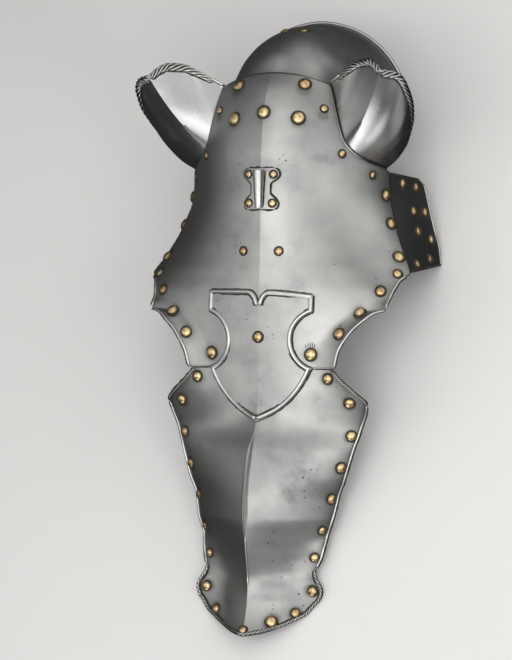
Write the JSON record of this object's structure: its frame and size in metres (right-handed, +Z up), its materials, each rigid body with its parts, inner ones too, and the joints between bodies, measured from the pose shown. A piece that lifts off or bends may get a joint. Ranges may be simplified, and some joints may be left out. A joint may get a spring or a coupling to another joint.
{
  "type": "horse head armour",
  "caption": "Rigid riveted steel plates over a horse's face, nose and poll, with side plates, scooped ear guards, a blank raised shield and a small plume tube.",
  "frame": {"origin": "centre of the bounding box's base, on the floor that the armour lies on", "axes": "+X to the horse's left, +Y from the muzzle to the poll, +Z up, out of the face"},
  "size_m": [0.296, 0.6582, 0.2107],
  "materials": {
    "steel": "satin, worn and lightly pitted",
    "dark_steel": "satin, darkened",
    "brass": "polished, tarnished round the edges"
  },
  "bodies": {
    "root": {"ear_guard_left": "steel", "ear_guard_right": "steel", "escutcheon": "steel", "face_plate": "steel", "nose_plate": "steel", "plume_holder": "steel", "poll_plate": "steel", "rivet_brow_lower_left": "brass", "rivet_brow_lower_right": "brass", "rivet_brow_middle": "brass", "rivet_brow_upper_left": "brass", "rivet_brow_upper_right": "brass", "rivet_cheek_1_left": "brass", "rivet_cheek_1_right": "brass", "rivet_cheek_2_left": "brass", "rivet_cheek_2_right": "brass", "rivet_cheek_3_left": "brass", "rivet_cheek_3_right": "brass", "rivet_ear_lower_left": "brass", "rivet_ear_lower_right": "brass", "rivet_ear_middle_left": "brass", "rivet_ear_middle_right": "brass", "rivet_ear_upper_left": "brass", "rivet_ear_upper_right": "brass", "rivet_eye_1_left": "brass", "rivet_eye_1_right": "brass", "rivet_eye_2_left": "brass", "rivet_eye_2_right": "brass", "rivet_eye_3_left": "brass", "rivet_eye_3_right": "brass", "rivet_eye_4_left": "brass", "rivet_eye_4_right": "brass", "rivet_holder_lower_left": "brass", "rivet_holder_lower_right": "brass", "rivet_holder_upper_left": "brass", "rivet_holder_upper_right": "brass", "rivet_muzzle_1_left": "brass", "rivet_muzzle_1_right": "brass", "rivet_muzzle_2_left": "brass", "rivet_muzzle_2_right": "brass", "rivet_muzzle_middle": "brass", "rivet_neck_left": "brass", "rivet_neck_right": "brass", "rivet_nose_1_left": "brass", "rivet_nose_1_right": "brass", "rivet_nose_2_left": "brass", "rivet_nose_2_right": "brass", "rivet_nose_3_left": "brass", "rivet_nose_3_right": "brass", "rivet_nose_4_left": "brass", "rivet_nose_4_right": "brass", "rivet_nose_5_left": "brass", "rivet_nose_5_right": "brass", "rivet_nose_6_left": "brass", "rivet_nose_6_right": "brass", "rivet_nose_7_left": "brass", "rivet_nose_7_right": "brass", "rivet_shield": "brass", "side_plate_left": "dark_steel", "side_plate_right": "dark_steel"}
  },
  "joints": []
}
